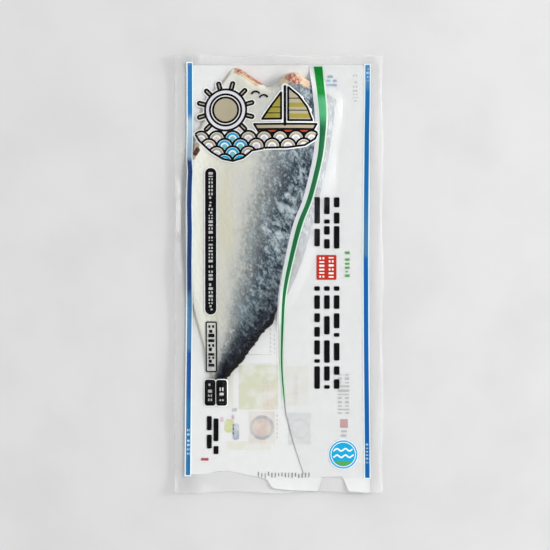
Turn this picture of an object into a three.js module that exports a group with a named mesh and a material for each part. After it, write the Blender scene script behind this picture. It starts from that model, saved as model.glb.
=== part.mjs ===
import * as THREE from "three";

// A salted mackerel half, skin side up, vacuum sealed in a flat clear pouch. It is one solid: the pouch's
// outer form, with the fish's relief in its upper face and flanges that curl up off the table.
// Millimetres: X across the pouch, Y towards the fish's head end, Z up from the table.

const POUCH = {
  width: 143.5,
  length: 300,
  filmGap: 0.8, // from the back film's underside to the front film's face, where they lie together
  sideWobble: 0.9, // how far the cut sides wander inwards
  endWobble: 1.4,
};

// Each flange curls up from the table: its height at the cut edge, how far in it starts, and its waves.
const FLANGES = {
  left: { height: 3.2, reach: 14, waveLength: 118, wave: 0.3, phase: 0.4 },
  right: { height: 2.4, reach: 15, waveLength: 96, wave: 0.35, phase: 1.9 },
  top: { height: 2, reach: 14, waveLength: 74, wave: 0.55, phase: 0.8 },
  bottom: { height: 2.6, reach: 18, waveLength: 62, wave: 0.6, phase: 2.6 },
};

const FISH = {
  belly: [
    [-34, 137],
    [-43, 123.5],
    [-50.5, 107],
    [-56.3, 92],
    [-61, 77.5],
    [-63.2, 60],
    [-63.6, 35],
    [-63, 10],
    [-60.8, -10],
    [-56.5, -30],
    [-50.3, -52.5],
    [-45.5, -69],
    [-44, -84],
  ],
  back: [
    [39.8, 119],
    [36.3, 91],
    [32, 68],
    [24.2, 37],
    [16.5, 9.5],
    [7.5, -12],
    [-1.2, -25.5],
    [-3.5, -33],
    [-10.5, -40.5],
    [-20.4, -54],
    [-29, -65],
    [-36, -73],
    [-39, -84],
  ],
  headCut: [
    [-34, 137],
    [-28, 141],
    [-12, 131],
    [-5, 128.5],
    [9.5, 138],
    [20, 133],
    [39.8, 119],
  ],
  // Height of the ridge above the table at stations from head to tail.
  ridge: [
    [9.5, 141],
    [13, 95],
    [12.6, 40],
    [10.6, -12],
    [7.6, -45],
    [4.6, -84],
  ],
  ridgeAt: 0.64, // place of the ridge from belly (0) to back (1)
  bellyShare: 0.27, // height at the belly edge as a share of the ridge's
  backShare: 0.66,
  leastSpan: 24, // the height across changes no faster than on a fish this wide
  shoulder: 4, // how far inside the outline the film is down on the skin
  tent: 6, // how far outside it the film comes down to the back film
};

// Lumps of flesh that stand up along the head cut: centre, radius and height.
const LUMPS = [
  { x: -22, y: 134, radius: 9, height: 2.4 },
  { x: 9, y: 132, radius: 8, height: 2.8 },
];

const EDGE_SAMPLES = 48;
const COLUMNS = { margin: 5, slope: 4, fish: 14, web: 4, flange: 5 };
const ROWS = [
  { to: -130, count: 5 },
  { to: -92, count: 7 },
  { to: 108, count: 39 },
  { to: 150, count: 16 },
];
const RELAX = 32; // past the fish's ends the columns spread out evenly over this length

const halfWidth = POUCH.width / 2;
const halfLength = POUCH.length / 2;

const clamp01 = (v) => Math.min(1, Math.max(0, v));
const smooth = (v) => clamp01(v) ** 2 * (3 - 2 * clamp01(v));
const mix = (a, b, share) => a + (b - a) * share;

// A smooth curve through the given points, as evenly numbered samples.
function curveThrough(points) {
  const knots = points.map(([x, y]) => new THREE.Vector2(x, y));
  return new THREE.SplineCurve(knots).getPoints(EDGE_SAMPLES);
}

const bellyCurve = curveThrough(FISH.belly);
const backCurve = curveThrough(FISH.back);
const ridgeCurve = curveThrough(FISH.ridge);
const outline = [...curveThrough(FISH.headCut), ...backCurve, ...bellyCurve.toReversed()];

// The x of a curve that runs from the head end to the tail, at a given y.
function acrossAt(curve, y) {
  if (y >= curve[0].y) return curve[0].x;
  const next = curve.findIndex((p) => p.y < y);
  if (next < 0) return curve.at(-1).x;
  const [before, after] = [curve[next - 1], curve[next]];
  return mix(before.x, after.x, (before.y - y) / (before.y - after.y));
}

// Distance from the fish's outline: positive inside it, negative outside.
function depthInside(x, y) {
  let nearest = Infinity;
  let inside = false;
  outline.forEach((a, i) => {
    const b = outline[(i + 1) % outline.length];
    const [dx, dy] = [b.x - a.x, b.y - a.y];
    const share = clamp01(((x - a.x) * dx + (y - a.y) * dy) / (dx * dx + dy * dy || 1));
    nearest = Math.min(nearest, Math.hypot(x - a.x - dx * share, y - a.y - dy * share));
    if (a.y > y !== b.y > y && x < a.x + ((y - a.y) / dy) * dx) inside = !inside;
  });
  return inside ? nearest : -nearest;
}

// The fish's thickness, thin at the belly flap and thick along the back.
function fishThickness(x, y) {
  const [belly, back] = [acrossAt(bellyCurve, y), acrossAt(backCurve, y)];
  const across = clamp01(0.5 + (x - (belly + back) / 2) / Math.max(back - belly, FISH.leastSpan));
  const rising = mix(FISH.bellyShare, 1, smooth(across / FISH.ridgeAt));
  const pastRidge = Math.max(0, across - FISH.ridgeAt) / (1 - FISH.ridgeAt);
  const share = rising - (1 - FISH.backShare) * pastRidge ** 2;
  const lumps = LUMPS.map((l) => {
    const away = Math.hypot(x - l.x, y - l.y) / l.radius;
    return l.height * Math.exp(-away * away * 2);
  });
  return acrossAt(ridgeCurve, y) * share + lumps.reduce((sum, h) => sum + h);
}

// How far the back film is off the table: nothing under the fish, most at the flanges' cut edges.
function flangeLift(x, y, depth) {
  const curl = (flange, fromEdge, along) => {
    const waves = 1 + flange.wave * Math.sin((2 * Math.PI * along) / flange.waveLength + flange.phase);
    return flange.height * waves * Math.max(0, 1 - fromEdge / flange.reach) ** 2;
  };
  const lift =
    curl(FLANGES.left, x + halfWidth, y) +
    curl(FLANGES.right, halfWidth - x, y) +
    curl(FLANGES.top, halfLength - y, x) +
    curl(FLANGES.bottom, y + halfLength, x);
  return lift * (1 - smooth((depth + FISH.tent) / FISH.tent));
}

// The x places of one row of vertices: they follow the fish's two edges and gather at its slopes.
function rowColumns(y) {
  const [belly, back] = [acrossAt(bellyCurve, y), acrossAt(backCurve, y)];
  const wobble = POUCH.sideWobble * Math.sin((Math.PI * y) / 83) ** 2;
  const [left, right] = [wobble - halfWidth, halfWidth - wobble];
  const shoulder = Math.min(FISH.shoulder, (back - belly) * 0.3);
  const margin = Math.min(FISH.tent, (belly - left) * 0.55);
  const stops = [
    [left, COLUMNS.margin],
    [belly - margin, COLUMNS.slope],
    [belly + shoulder, COLUMNS.fish],
    [back - shoulder, COLUMNS.slope],
    [back + FISH.tent, COLUMNS.web],
    [right - FLANGES.right.reach, COLUMNS.flange],
    [right, 0],
  ];
  const fitted = stops.slice(0, -1).flatMap(([x, count], i) =>
    Array.from({ length: count }, (_, k) => mix(x, stops[i + 1][0], k / count)),
  );
  fitted.push(right);
  const pastEnd = Math.max(y - FISH.headCut[1][1], FISH.belly.at(-1)[1] - y, 0);
  const relaxed = smooth(pastEnd / RELAX);
  return fitted.map((x, k) => mix(x, mix(left, right, k / (fitted.length - 1)), relaxed));
}

function rowPlaces() {
  const places = [-halfLength];
  for (const { to, count } of ROWS) {
    const from = places.at(-1);
    for (let k = 1; k <= count; k++) places.push(mix(from, to, k / count));
  }
  return places;
}

// Two faces over the same net of points, the upper one raised by the film and the fish, and a rim between.
function sealedPouch() {
  const rows = rowPlaces();
  const lower = [];
  const upper = [];
  for (const row of rows) {
    for (const x of rowColumns(row)) {
      const y = row * (1 - (POUCH.endWobble / halfLength) * Math.sin((Math.PI * x) / 58) ** 2);
      const depth = depthInside(x, y);
      const lift = flangeLift(x, y, depth);
      const risen = smooth((depth + FISH.tent) / (FISH.tent + FISH.shoulder));
      lower.push(x, y, lift);
      upper.push(x, y, lift + POUCH.filmGap + fishThickness(x, y) * risen);
    }
  }
  const across = lower.length / 3 / rows.length;
  const points = across * rows.length;
  const faces = [];
  const quad = (a, b, c, d) => faces.push(a, b, c, a, c, d);
  for (let j = 0; j + 1 < rows.length; j++) {
    for (let i = 0; i + 1 < across; i++) {
      const [a, b] = [j * across + i, j * across + i + 1];
      const [c, d] = [b + across, a + across];
      quad(a, d, c, b);
      quad(a + points, b + points, c + points, d + points);
    }
    const [left, right] = [j * across, (j + 1) * across - 1];
    quad(left, left + points, left + across + points, left + across);
    quad(right, right + across, right + across + points, right + points);
  }
  for (let i = 0; i + 1 < across; i++) {
    const last = (rows.length - 1) * across + i;
    quad(i, i + 1, i + 1 + points, i + points);
    quad(last, last + points, last + 1 + points, last + 1);
  }
  const geometry = new THREE.BufferGeometry();
  geometry.setAttribute("position", new THREE.Float32BufferAttribute([...lower, ...upper], 3));
  geometry.setIndex(faces);
  geometry.computeVertexNormals();
  return geometry;
}

const filmFinish = new THREE.MeshStandardMaterial({ color: 0xc9cfcc, roughness: 0.22, metalness: 0 });

const pouch = new THREE.Mesh(sealedPouch(), filmFinish);
pouch.name = "sealed_pouch";

const saltedMackerel = new THREE.Group();
saltedMackerel.add(pouch);

export default saltedMackerel;
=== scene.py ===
# A vacuum-packed salted mackerel half: the fish, its clear pouch and the pouch's plain generic print
import math

import bpy
import numpy as np
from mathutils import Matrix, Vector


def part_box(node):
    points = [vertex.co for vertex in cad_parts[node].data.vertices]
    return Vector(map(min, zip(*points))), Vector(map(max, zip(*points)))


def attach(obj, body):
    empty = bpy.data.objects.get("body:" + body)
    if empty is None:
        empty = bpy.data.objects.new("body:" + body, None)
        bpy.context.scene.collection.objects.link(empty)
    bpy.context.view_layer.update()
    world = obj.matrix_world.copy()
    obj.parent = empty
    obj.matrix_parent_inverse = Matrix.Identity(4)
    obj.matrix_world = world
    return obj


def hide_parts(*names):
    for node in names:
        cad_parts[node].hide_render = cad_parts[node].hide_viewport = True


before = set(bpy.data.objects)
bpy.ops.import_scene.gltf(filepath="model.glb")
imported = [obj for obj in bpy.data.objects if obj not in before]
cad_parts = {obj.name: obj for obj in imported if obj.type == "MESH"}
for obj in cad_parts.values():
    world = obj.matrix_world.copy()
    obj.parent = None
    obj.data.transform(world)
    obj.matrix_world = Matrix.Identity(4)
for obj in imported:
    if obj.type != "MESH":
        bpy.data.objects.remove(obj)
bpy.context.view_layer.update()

mm = 0.001  # every shape below is worked out in millimetres and built in metres
lowCorner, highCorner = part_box("sealed_pouch")
halfWidth = (highCorner.x - lowCorner.x) / 2 / mm
halfLength = (highCorner.y - lowCorner.y) / 2 / mm


def smooth(v, low=0.0, high=1.0):
    share = np.clip((np.asarray(v, float) - low) / (high - low), 0, 1)
    return share * share * (3 - 2 * share)


def mixed(a, b, share):
    return a + (b - a) * share


def curveThrough(points, samples=48):
    knots = np.array(points, float)
    spots = np.linspace(0, len(knots) - 1, samples + 1)
    cell = np.minimum(spots.astype(int), len(knots) - 2)
    t = (spots - cell)[:, None]
    before, start = knots[np.maximum(cell - 1, 0)], knots[cell]
    end, after = knots[cell + 1], knots[np.minimum(cell + 2, len(knots) - 1)]
    leave, arrive = (end - before) / 2, (after - start) / 2
    cubic = (2 * start - 2 * end + leave + arrive) * t ** 3
    square = (3 * end - 3 * start - 2 * leave - arrive) * t ** 2
    return cubic + square + leave * t + start


def acrossAt(curve, y):  # the x of a curve that runs from the head end to the tail
    return np.interp(y, curve[::-1, 1], curve[::-1, 0])


def lineDistance(x, y, points, closed=False):
    ends = list(zip(points, points[1:]))
    if closed:
        ends.append((points[-1], points[0]))
    nearest = np.full(np.shape(x), np.inf)
    for (ax, ay), (bx, by) in ends:
        dx, dy = bx - ax, by - ay
        share = np.clip(((x - ax) * dx + (y - ay) * dy) / (dx * dx + dy * dy + 1e-12), 0, 1)
        nearest = np.minimum(nearest, np.hypot(x - ax - dx * share, y - ay - dy * share))
    return nearest


def isInside(x, y, points):
    inside = np.zeros(np.shape(x), bool)
    for (ax, ay), (bx, by) in zip(points, np.roll(points, -1, axis=0)):
        if ay != by:
            crosses = ((ay > y) != (by > y)) & (x < ax + (y - ay) / (by - ay) * (bx - ax))
            inside ^= crosses
    return inside


# the forms that fish and film share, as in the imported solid
fish = {
    "belly": [(-34, 137), (-43, 123.5), (-50.5, 107), (-56.3, 92), (-61, 77.5), (-63.2, 60), (-63.6, 35),
              (-63, 10), (-60.8, -10), (-56.5, -30), (-50.3, -52.5), (-45.5, -69), (-44, -84)],
    "back": [(39.8, 119), (36.3, 91), (32, 68), (24.2, 37), (16.5, 9.5), (7.5, -12), (-1.2, -25.5),
             (-3.5, -33), (-10.5, -40.5), (-20.4, -54), (-29, -65), (-36, -73), (-39, -84)],
    "headCut": [(-34, 137), (-28, 141), (-12, 131), (-5, 128.5), (9.5, 138), (20, 133), (39.8, 119)],
    "ridge": [(9.5, 141), (13, 95), (12.6, 40), (10.6, -12), (7.6, -45), (4.6, -84)],  # height, y
    "ridgeAt": 0.64,
    "bellyShare": 0.27,
    "backShare": 0.66,
    "leastSpan": 24,
    "lumps": [(-22, 134, 9, 2.4), (9, 132, 8, 2.8)],  # x, y, radius and height of the flesh at the cut
    "fat": [(-22, 11, 6), (11.5, 13, 8.5)],  # x, half its width, and how far down from the cut
    "meat": [(1.5, [(-28.6, 139.4), (-24.5, 138.0), (-20.5, 135.4), (-16.5, 132.8), (-11.5, 130.4)]),
             (3.0, [(7.0, 134.8), (9.8, 133.4), (12.8, 132.0)])],  # half a width, and a line along the cut
    "stain": [(2.0, [(-55.6, 88), (-56.8, 85), (-58.4, 79.8)])],
    "blood": [(1.7, [(-55.2, 85), (-56.6, 82.4)])],
    "glint": [(-1.5, 49), (3, 48.5), (7.5, 45), (12.3, 42.6), (8.7, 41.2), (4, 44), (2, 43)],  # a painted glare patch on the back
    "notch": (0.6, -28, -36, -72, -80),  # depth, and where the notches of the back edge begin and end
    "edgeRound": 4.5,
    "bumps": 0.12,
    "clear": 0.42,  # least room between skin and film
    "under": 0.45,  # from the table up to the flesh side
    "edge": (0.05, 0.03),  # thickness at the outline, and the least anywhere
    "columns": 120,
    "rows": 250,
    "rowSpread": 0.9,
    "settle": (130.0, 40),  # first guess of the head cut's y, and rounds of correcting it
}
film = {
    "gap": 0.64,  # from the table to the front film's face where both films lie together
    "wall": 0.06,
    "backTop": 0.1,  # the back film's inner face, from the table
    "tent": 6,  # how far outside the fish the front film comes down, with two waves along it
    "tentWaves": [(2.0, 9, 15), (1.3, -21, 6.3)],  # height, and the lengths across and along
    "shoulder": 4,
    "softness": 2.2,
    "ripple": 0.06,
    "sideWobble": 0.9,
    "endWobble": 1.4,
    "frontPitch": 1.0,
    "backPitch": 2.0,
    "sampling": 0.5,
    "spare": 2,  # how far the table of heights runs past the edges
}
flanges = {  # height at the cut edge, reach inwards, wave length, wave share, phase
    "left": (3.2, 14, 118, 0.1, 0.4),
    "right": (2.4, 15, 96, 0.35, 1.9),
    "top": (2.0, 14, 74, 0.55, 0.8),
    "bottom": (2.6, 18, 62, 0.35, 2.6),
}
# a flat part of the left flange, tight against the fish, that faces the window
facet = {"y": (16, 28, 60, 68, 88, 100), "slope": (0.2, 0.48, 0.48, 0.41, 0.41, 0.2), "width": 7.2,
         "foot": (64.2, 65.8)}

bellyCurve = curveThrough(fish["belly"])
backCurve = curveThrough(fish["back"])
ridgeCurve = curveThrough(fish["ridge"])
headCurve = curveThrough(fish["headCut"])
outline = np.vstack([headCurve, backCurve, bellyCurve[::-1]])


def depthInside(x, y, points):  # distance from a closed outline, positive inside it
    away = lineDistance(x, y, points, closed=True)
    return np.where(isInside(x, y, points), away, -away)


def fishThickness(x, y):
    belly, back = acrossAt(bellyCurve, y), acrossAt(backCurve, y)
    span = np.maximum(back - belly, fish["leastSpan"])
    across = np.clip(0.5 + (x - (belly + back) / 2) / span, 0, 1)
    rising = mixed(fish["bellyShare"], 1, smooth(across / fish["ridgeAt"]))
    pastRidge = np.maximum(0, across - fish["ridgeAt"]) / (1 - fish["ridgeAt"])
    height = acrossAt(ridgeCurve, y) * (rising - (1 - fish["backShare"]) * pastRidge ** 2)
    for lumpX, lumpY, radius, lump in fish["lumps"]:
        height = height + lump * np.exp(-2 * ((x - lumpX) ** 2 + (y - lumpY) ** 2) / radius ** 2)
    return height


def flangeLift(x, y, depth):
    def curl(name, fromEdge, along):
        height, reach, waveLength, wave, phase = flanges[name]
        waves = 1 + wave * np.sin(2 * np.pi * along / waveLength + phase)
        return height * waves * np.maximum(0, 1 - fromEdge / reach) ** 2

    lift = (curl("left", x + halfWidth, y) + curl("right", halfWidth - x, y)
            + curl("top", halfLength - y, x) + curl("bottom", y + halfLength, x))
    return lift * (1 - smooth((depth + film["tent"]) / film["tent"]))


creases = {"count": 84, "seed": 11, "turn": 0.7, "length": (6, 20), "height": (0.2, 0.75),
           "width": (0.9, 1.9), "bend": 0.02}


def creaseHeight(x, y, depth):  # folds that run out from the fish, where the film had no more to give
    look, rng, height = creases, np.random.default_rng(creases["seed"]), np.zeros(np.shape(x))
    for k in range(look["count"]):
        spot = outline[int((k + rng.uniform(-0.3, 0.3)) * len(outline) / look["count"]) % len(outline)]
        ahead = outline[(int(k * len(outline) / look["count"]) + 3) % len(outline)]
        along = ahead - spot
        facing = math.atan2(along[0], -along[1]) + rng.uniform(-look["turn"], look["turn"]) + math.pi
        out = np.array([math.cos(facing), math.sin(facing)])
        length, tall = rng.uniform(*look["length"]), rng.uniform(*look["height"])
        width, bend = rng.uniform(*look["width"]), rng.uniform(-look["bend"], look["bend"])
        forward = (x - spot[0]) * out[0] + (y - spot[1]) * out[1]
        aside = (x - spot[0]) * -out[1] + (y - spot[1]) * out[0] + bend * forward ** 2
        taper = smooth(forward, -2, 4) * (1 - smooth(forward, length * 0.5, length))
        height += tall * np.exp(-(aside / width) ** 2) * taper
    return height * (1 - smooth(depth, -1, 3))


folds = {"count": 30, "seed": 5, "turn": 0.9, "shift": 6, "height": (0.25, 0.9), "halfWidth": (2.0, 6.5),
         "reach": 12}


def foldHeight(x, y):  # sharp folds that cross the loose flanges and leave flat facets between them
    look, rng, height = folds, np.random.default_rng(folds["seed"]), np.zeros(np.shape(x))
    wayRound = 4 * (halfWidth + halfLength)
    around = np.linspace(0, wayRound, look["count"], endpoint=False)
    for place in around + rng.uniform(-look["shift"], look["shift"], look["count"]):
        spot = place % wayRound
        turn = rng.uniform(-look["turn"], look["turn"])
        if spot < 4 * halfLength:
            side = 1 if spot < 2 * halfLength else -1
            middle = (side * halfWidth, spot % (2 * halfLength) - halfLength)
        else:
            side = 1 if spot < 4 * halfLength + 2 * halfWidth else -1
            middle = ((spot - 4 * halfLength) % (2 * halfWidth) - halfWidth, side * halfLength)
            turn += math.pi / 2
        tall, wide = rng.uniform(*look["height"]), rng.uniform(*look["halfWidth"])
        across = (y - middle[1]) * math.cos(turn) - (x - middle[0]) * math.sin(turn)
        along = (x - middle[0]) * math.cos(turn) + (y - middle[1]) * math.sin(turn)
        near = 1 - smooth(np.abs(along), look["reach"] * 0.4, look["reach"])
        height += tall * np.maximum(0, 1 - np.abs(across) / wide) * near
    fromEdge = np.minimum(halfWidth - np.abs(x), halfLength - np.abs(y))
    return height * (1 - smooth(fromEdge, look["reach"] * 0.3, look["reach"]))


seal = {"y": -127.4, "x": (-43, 36), "fade": 8, "height": 0.34, "width": 0.5}


def sealHeight(x, y):  # the stamped line across the lower end
    left, right = seal["x"]
    inRange = smooth(x, left, left + seal["fade"]) * (1 - smooth(x, right - seal["fade"], right))
    return seal["height"] * np.exp(-((y - seal["y"]) / seal["width"]) ** 2) * inRange


def softened(table, reach):  # a blur along both sides
    steps = np.arange(-round(3 * reach), round(3 * reach) + 1)
    weights = np.exp(-0.5 * (steps / reach) ** 2)
    for axis in (0, 1):
        pads = [(len(steps) // 2,) * 2 if k == axis else (0, 0) for k in (0, 1)]
        wide = np.pad(table, pads, mode="edge")
        table = sum(w * np.take(wide, range(k, k + table.shape[axis]), axis) for k, w in enumerate(weights))
        table = table / weights.sum()
    return table


# one table of the film's heights, which the film, the print and the fish all read
tableX, tableY = [np.arange(-half - film["spare"], half + film["spare"] + film["sampling"], film["sampling"])
                  for half in (halfWidth, halfLength)]
gridX, gridY = np.meshgrid(tableX, tableY)
gridDepth = depthInside(gridX, gridY, outline)
gridLift = flangeLift(gridX, gridY, gridDepth)
tent = film["tent"]
for tall, waveX, waveY in film["tentWaves"]:
    tent = tent + tall * np.sin(gridX / waveX + gridY / waveY)
risen = smooth((gridDepth + tent) / (tent + film["shoulder"]))
ripple = film["ripple"] * np.sin(gridX / 6.1 + np.sin(gridY / 13)) * np.sin(gridY / 9.3 + gridX / 17)
gridFront = softened(fishThickness(gridX, gridY) * risen, film["softness"] / film["sampling"])
inFacet = smooth(gridY, *facet["y"][:2]) * (1 - smooth(gridY, *facet["y"][-2:])) * (gridX < 0)
flat = np.interp(gridY, facet["y"], facet["slope"]) * np.maximum(0, facet["width"] - halfWidth - gridX)
gridLift = mixed(gridLift, flat, inFacet)
gridFront *= 1 - inFacet * smooth(-gridX, *facet["foot"])
gridFront += gridLift + film["gap"] + creaseHeight(gridX, gridY, gridDepth)
gridFront += (ripple + foldHeight(gridX, gridY) + sealHeight(gridX, gridY)) * (1 - smooth(gridDepth, -4, 0))
print("film heights worked out")


def fromTable(table, x, y):
    column = np.clip((x - tableX[0]) / film["sampling"], 0, len(tableX) - 1.001)
    row = np.clip((y - tableY[0]) / film["sampling"], 0, len(tableY) - 1.001)
    i, j = column.astype(int), row.astype(int)
    u, v = column - i, row - j
    lower = mixed(table[j, i], table[j, i + 1], u)
    upper = mixed(table[j + 1, i], table[j + 1, i + 1], u)
    return mixed(lower, upper, v)


def frontFace(x, y):
    return fromTable(gridFront, x, y)


def backFace(x, y):
    return fromTable(gridLift, x, y)


# flat shapes, as distances in millimetres that are positive inside
def disc(cx, cy, radius):
    return lambda x, y: radius - np.hypot(x - cx, y - cy)


def slab(cx, cy, halfX, halfY, corner=0.0):
    def inside(x, y):
        dx, dy = np.abs(x - cx) - (halfX - corner), np.abs(y - cy) - (halfY - corner)
        outer = np.hypot(np.maximum(dx, 0), np.maximum(dy, 0))
        return corner - outer - np.minimum(np.maximum(dx, dy), 0)
    return inside


def stroke(points, width):
    return lambda x, y: width / 2 - lineDistance(x, y, points)


def bandAlong(points, width):  # a band with square ends along a line that runs down the pouch
    rows = np.array(points, float)[::-1]

    def inside(x, y):
        side = width / 2 - np.abs(x - np.interp(y, rows[:, 1], rows[:, 0]))
        return np.minimum(side, np.minimum(rows[-1, 1] - y, y - rows[0, 1]))
    return inside


def polygon(points):
    points = np.array(points, float)
    return lambda x, y: depthInside(x, y, points)


def joined(*shapes):
    return lambda x, y: np.max([shape(x, y) for shape in shapes], axis=0)


def common(*shapes):
    return lambda x, y: np.min([shape(x, y) for shape in shapes], axis=0)


def outside(shape):
    return lambda x, y: -shape(x, y)


def grown(shape, by):
    return lambda x, y: shape(x, y) + by


def rimOf(shape, width):
    return lambda x, y: width / 2 - np.abs(shape(x, y))


def arc(cx, cy, radius, start, end, count=14):
    angles = np.radians(np.linspace(start, end, count))
    return [(cx + radius * math.cos(a), cy + radius * math.sin(a)) for a in angles]


def newPiece(name, points, faces, finish):
    mesh = bpy.data.meshes.new(name)
    mesh.from_pydata((np.asarray(points) * mm).tolist(), [], faces)
    mesh.validate()
    mesh.update()
    mesh.shade_smooth()
    piece = bpy.data.objects.new(name, mesh)
    bpy.context.scene.collection.objects.link(piece)
    mesh.materials.append(finish)
    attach(piece, "root")
    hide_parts("sealed_pouch")
    return piece


def netShell(upper, lower):  # two nets of points, rows by columns, closed by a rim
    rows, columns = upper.shape[:2]
    count = rows * columns
    a = (np.arange(rows - 1)[:, None] * columns + np.arange(columns - 1)).ravel()
    top = np.stack([a, a + 1, a + 1 + columns, a + columns], 1)
    faces = [top, top[:, ::-1] + count]
    edge = np.concatenate([np.arange(columns), np.arange(1, rows) * columns + columns - 1,
                           (rows - 1) * columns + np.arange(columns - 2, -1, -1),
                           np.arange(rows - 2, 0, -1) * columns])
    following = np.roll(edge, -1)
    faces.append(np.stack([edge, edge + count, following + count, following], 1))
    points = np.vstack([upper.reshape(-1, 3), lower.reshape(-1, 3)])
    return points, np.vstack(faces).tolist()


def markPoints(piece, measures):  # the same values on a shell's upper and lower points
    for name, values in measures.items():
        layer = piece.data.attributes.new(name, "FLOAT", "POINT")
        layer.data.foreach_set("value", np.tile(np.asarray(values, np.float32).ravel(), 2))


class Wire:  # a shader socket whose operators add Math nodes
    def __init__(self, graph, socket):
        self.graph, self.socket = graph, socket

    def maths(self, operation, *others):
        return self.graph.node("Math", {"operation": operation}, dict(enumerate((self, *others))))

    def __add__(self, other):
        return self.maths("ADD", other)

    def __sub__(self, other):
        return self.maths("SUBTRACT", other)

    def __rsub__(self, other):
        return self.graph.node("Math", {"operation": "SUBTRACT"}, {0: other, 1: self})

    def __mul__(self, other):
        return self.maths("MULTIPLY", other)

    def __pow__(self, other):
        return self.maths("POWER", other)

    __radd__, __rmul__ = __add__, __mul__


class Finish:  # the nodes of one material, or of the world
    def __init__(self, holder):
        holder.use_nodes = True
        self.holder, self.tree = holder, holder.node_tree
        self.tree.nodes.clear()

    def node(self, kind, settings=None, inputs=None, output=0):
        made = self.tree.nodes.new("ShaderNode" + kind)
        for key, value in (settings or {}).items():
            if key == "stops":
                stops = made.color_ramp.elements
                stops.remove(stops[1])
                stops[0].position = value[0][0]
                for place, _ in value[1:]:
                    stops.new(place)
                for stop, (_, colour) in zip(stops, value):
                    stop.color = (*colour, 1)
            else:
                setattr(made, key, value)
        for key, value in (inputs or {}).items():
            if isinstance(value, Wire):
                self.tree.links.new(value.socket, made.inputs[key])
            elif isinstance(value, tuple) and len(value) == 3 and made.inputs[key].type == "RGBA":
                made.inputs[key].default_value = (*value, 1)
            else:
                made.inputs[key].default_value = value
        return Wire(self, made.outputs[output]) if made.outputs else self.holder

    def place(self, stretch=(1, 1, 1), turn=0.0):
        spot = self.node("TexCoord", output="Object")
        if turn:
            spot = self.node("VectorRotate", {"rotation_type": "Z_AXIS"}, {"Vector": spot, "Angle": turn})
        if stretch == (1, 1, 1):
            return spot
        return self.node("VectorMath", {"operation": "MULTIPLY"}, {0: spot, 1: stretch})

    def noise(self, size, detail=2.0, stretch=(1, 1, 1), roughness=0.5, twist=0.0, turn=0.0):
        values = {"Vector": self.place(stretch, turn), "Scale": 1 / (size * mm), "Detail": detail,
                  "Roughness": roughness, "Distortion": twist}
        return self.node("TexNoise", inputs=values)

    def measure(self, name):
        return self.node("Attribute", {"attribute_name": name}, output="Fac")

    def ramped(self, value, low, high):  # 0 below low, 1 above high, and smooth between
        limits = {"Value": value, "From Min": low, "From Max": high}
        return self.node("MapRange", {"interpolation_type": "SMOOTHSTEP"}, limits)

    def coloured(self, value, *stops):
        return self.node("ValToRGB", {"stops": stops}, {"Fac": value})

    def blended(self, share, a, b, how="MIX"):
        settings = {"data_type": "RGBA", "blend_type": how}
        return self.node("Mix", settings, {0: share, 6: a, 7: b}, output=2)

    def bumped(self, height, distance, strength=1.0):
        return self.node("Bump", inputs={"Height": height, "Distance": distance * mm, "Strength": strength})

    def surface(self, **inputs):
        return self.node("BsdfPrincipled", inputs={k.replace("_", " "): v for k, v in inputs.items()})

    def done(self, shader, kind="OutputMaterial"):
        return self.node(kind, inputs={"Surface": shader})


def newFinish(name):
    return Finish(bpy.data.materials.new(name))


inkLook = {"roughness": 0.42, "roughSpan": 0.12, "roughSize": 6, "specular": 0.03, "mottle": 0.03,
           "mottleSize": 5, "cloud": 0.6, "cloudSize": 10}


def inkFinish(name, colour, alpha=1.0, ends=None, cloud=None):
    ink = newFinish(name)
    thin = tuple(min(1, c * (1 + inkLook["mottle"]) + 0.003) for c in colour)
    perFace = 1 - math.sqrt(1 - alpha)  # light crosses both faces of the layer
    base = ink.blended(ink.ramped(ink.noise(inkLook["mottleSize"]), 0.35, 0.75), colour, thin)
    if ends:  # what the ink turns into below a place along the pouch
        along = ink.node("SeparateXYZ", inputs={0: ink.place()}, output="Y")
        for low, high, other in ends:
            base = ink.blended(ink.ramped(along, low * mm, high * mm), other, base)
    if cloud:  # the ink fades into another in soft patches
        patches = ink.ramped(ink.noise(inkLook["cloudSize"], 2), 0.42, 0.66) * inkLook["cloud"]
        base = ink.blended(patches, base, cloud)
    span = inkLook["roughSpan"]
    rough = ink.noise(inkLook["roughSize"]) * span + (inkLook["roughness"] - span / 2)
    return ink.done(ink.surface(Base_Color=base, Roughness=rough, Alpha=perFace,
                                Specular_IOR_Level=inkLook["specular"]))


filmLook = {"shine": 0.12, "rim": 0.6, "haze": 0.001, "edgeHaze": 0.085, "milk": 0.95, "shade": 0.57,
            "roughness": 0.10, "wrinkle": 0.05, "wrinkleSize": 9, "straight": 0.04}


def filmFinish(name):
    clear = newFinish(name)
    bump = clear.bumped(clear.noise(filmLook["wrinkleSize"], 3, (1, 0.6, 1)), filmLook["wrinkle"])
    mirror = clear.node("BsdfGlossy", inputs={"Roughness": filmLook["roughness"], "Normal": bump})
    # painted shade: the milky haze turns a darker grey along the left margin
    milk = clear.blended(clear.measure("shaded"), (filmLook["milk"],) * 3, (filmLook["shade"],) * 3)
    milky = clear.node("BsdfDiffuse", inputs={"Color": milk})
    through = clear.node("BsdfTransparent", inputs={"Color": (1, 1, 1)})
    haze = clear.measure("cloudy") * (filmLook["edgeHaze"] - filmLook["haze"]) + filmLook["haze"]
    hazy = clear.node("MixShader", inputs={0: haze, 1: through, 2: milky})
    facing = clear.node("LayerWeight", inputs={"Blend": 0.5, "Normal": bump}, output="Facing")
    glance = facing ** 5 * filmLook["rim"] + filmLook["straight"] * filmLook["shine"]
    return clear.done(clear.node("MixShader", inputs={0: glance, 1: hazy, 2: mirror}))


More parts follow.
